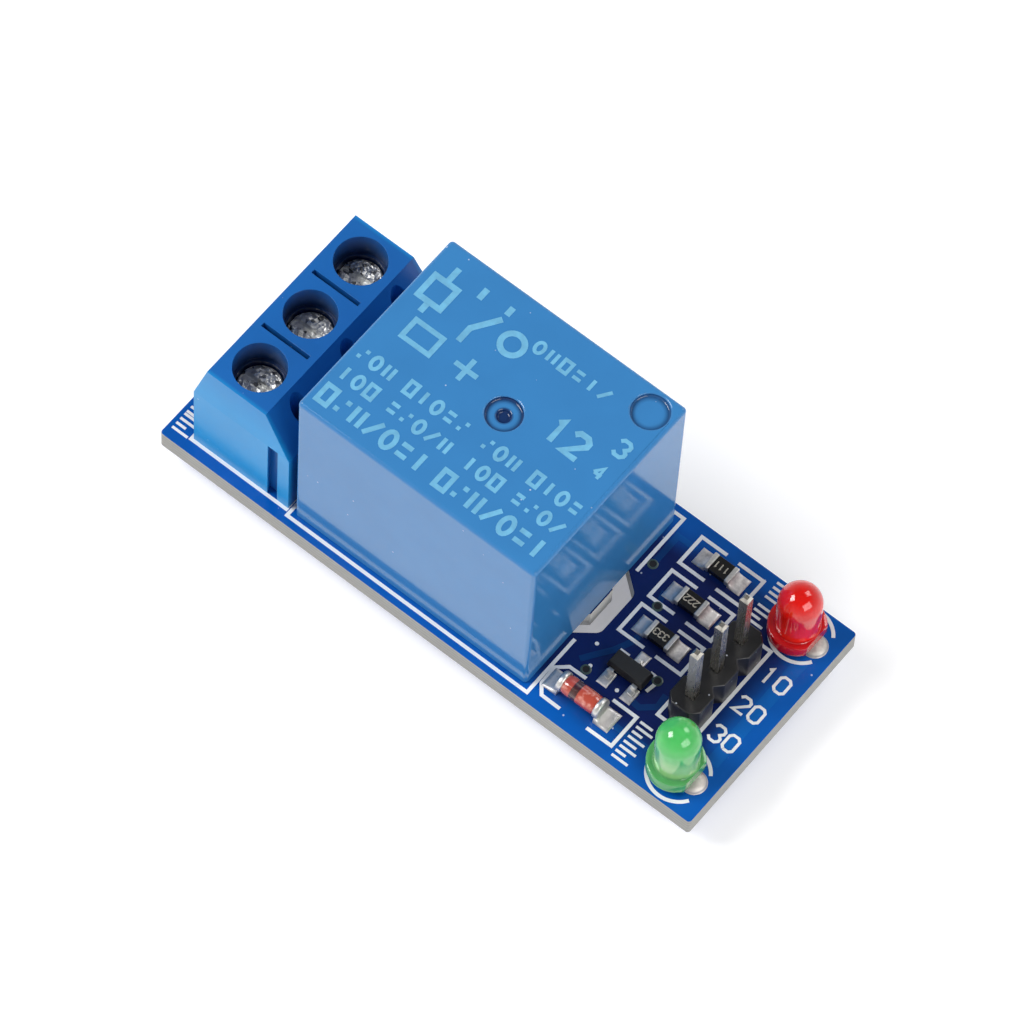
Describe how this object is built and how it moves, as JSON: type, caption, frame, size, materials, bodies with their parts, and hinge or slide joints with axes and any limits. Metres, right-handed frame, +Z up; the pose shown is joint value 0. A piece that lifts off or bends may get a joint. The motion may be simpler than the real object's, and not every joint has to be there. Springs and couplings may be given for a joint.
{
  "type": "relay module board",
  "caption": "Small blue circuit board with a cube relay, a screw terminal block, indicator lights, chip parts and an upright control pin header.",
  "frame": {"origin": "under the middle of the board, in the plane of the cut ends of the soldered tails, on which the board stands", "axes": "+X along the board from the screw terminals to the control header, +Y across it towards the red light, +Z up out of the component side"},
  "size_m": [0.044, 0.0176, 0.0189],
  "materials": {
    "solder_mask_blue": "glass-epoxy board under a dark blue solder mask, satin gloss",
    "terminal_blue": "moulded polyamide, satin",
    "relay_blue": "moulded polyester, semi-gloss",
    "relay_base_plastic": "moulded base, satin",
    "zinc_plated_iron": "soft iron with a dull zinc plating",
    "bobbin_plastic": "natural moulded plastic",
    "enamelled_wire": "fine enamelled copper wire in close turns",
    "tinned_metal": "tin-plated copper alloy, bright",
    "spring_copper": "rolled copper alloy, satin",
    "silver_contact": "silver alloy, satin",
    "plated_brass": "nickel-plated brass, dull",
    "screw_steel": "nickel-plated steel",
    "header_black": "glass-filled black plastic, satin",
    "gold_plated_pin": "pale plated square wire",
    "red_lens": "red tinted diffused epoxy",
    "green_lens": "green tinted diffused epoxy",
    "chip_ceramic": "black glazed film on white ceramic",
    "package_black": "moulded epoxy, matte",
    "diode_glass": "orange-red tinted glass",
    "solder": "bright tin solder"
  },
  "bodies": {
    "board": {"circuit_board": "solder_mask_blue", "terminal_housing": "terminal_blue", "relay_cover": "relay_blue", "relay_base": "relay_base_plastic", "yoke": "zinc_plated_iron", "iron_core": "zinc_plated_iron", "coil_bobbin": "bobbin_plastic", "coil_winding": "enamelled_wire", "common_pin": "tinned_metal", "normally_open_contact": "tinned_metal", "normally_closed_contact": "tinned_metal", "header_body": "header_black", "red_led_lens": "red_lens", "green_led_lens": "green_lens", "red_led_leads": "tinned_metal", "green_led_leads": "tinned_metal", "resistor_ends": "tinned_metal", "transistor_body": "package_black", "transistor_leads": "tinned_metal", "diode_glass": "diode_glass", "diode_caps": "tinned_metal", "surface_pads": "solder", "relay_solder": "solder", "terminal_solder": "solder", "header_solder": "solder", "led_solder": "solder", "terminal_contact_1": "plated_brass", "header_pin_1": "gold_plated_pin", "resistor_1": "chip_ceramic", "terminal_contact_2": "plated_brass", "header_pin_2": "gold_plated_pin", "resistor_2": "chip_ceramic", "terminal_contact_3": "plated_brass", "header_pin_3": "gold_plated_pin", "resistor_3": "chip_ceramic", "coil_pin_1": "tinned_metal", "coil_pin_2": "tinned_metal"},
    "armature": {"armature": "zinc_plated_iron", "contact_leaf": "spring_copper", "moving_contact": "silver_contact"},
    "guard_1": {"wire_guard_1": "screw_steel"},
    "screw_1": {"terminal_screw_1": "screw_steel"},
    "guard_2": {"wire_guard_2": "screw_steel"},
    "screw_2": {"terminal_screw_2": "screw_steel"},
    "guard_3": {"wire_guard_3": "screw_steel"},
    "screw_3": {"terminal_screw_3": "screw_steel"}
  },
  "joints": [
    {"name": "armature_hinge", "type": "hinge", "parent": "board", "child": "armature", "pos_m": [0.0044, 0, 0.0152], "axis": [0, -1, 0], "range_deg": [0, 2.4], "stiffness_Nm_per_rad": 0.02, "springref_deg": -2.29},
    {"name": "guard_1_slide", "type": "slide", "parent": "board", "child": "guard_1", "axis": [0, 0, -1], "range_m": [-0.0017, 0.0011]},
    {"name": "screw_1_turn", "type": "hinge", "parent": "guard_1", "child": "screw_1", "pos_m": [-0.0166, -0.00508, 0.0113], "axis": [0, 0, -1], "range_deg": [-1361, 881]},
    {"name": "guard_2_slide", "type": "slide", "parent": "board", "child": "guard_2", "axis": [0, 0, -1], "range_m": [-0.0017, 0.0011]},
    {"name": "screw_2_turn", "type": "hinge", "parent": "guard_2", "child": "screw_2", "pos_m": [-0.0166, 0, 0.0113], "axis": [0, 0, -1], "range_deg": [-1361, 881]},
    {"name": "guard_3_slide", "type": "slide", "parent": "board", "child": "guard_3", "axis": [0, 0, -1], "range_m": [-0.0017, 0.0011]},
    {"name": "screw_3_turn", "type": "hinge", "parent": "guard_3", "child": "screw_3", "pos_m": [-0.0166, 0.00508, 0.0113], "axis": [0, 0, -1], "range_deg": [-1361, 881]}
  ],
  "couplings": [
    {"joint": "screw_1_turn", "follows": "guard_1_slide", "rad_per_m": 13963},
    {"joint": "screw_2_turn", "follows": "guard_2_slide", "rad_per_m": 13963},
    {"joint": "screw_3_turn", "follows": "guard_3_slide", "rad_per_m": 13963}
  ]
}
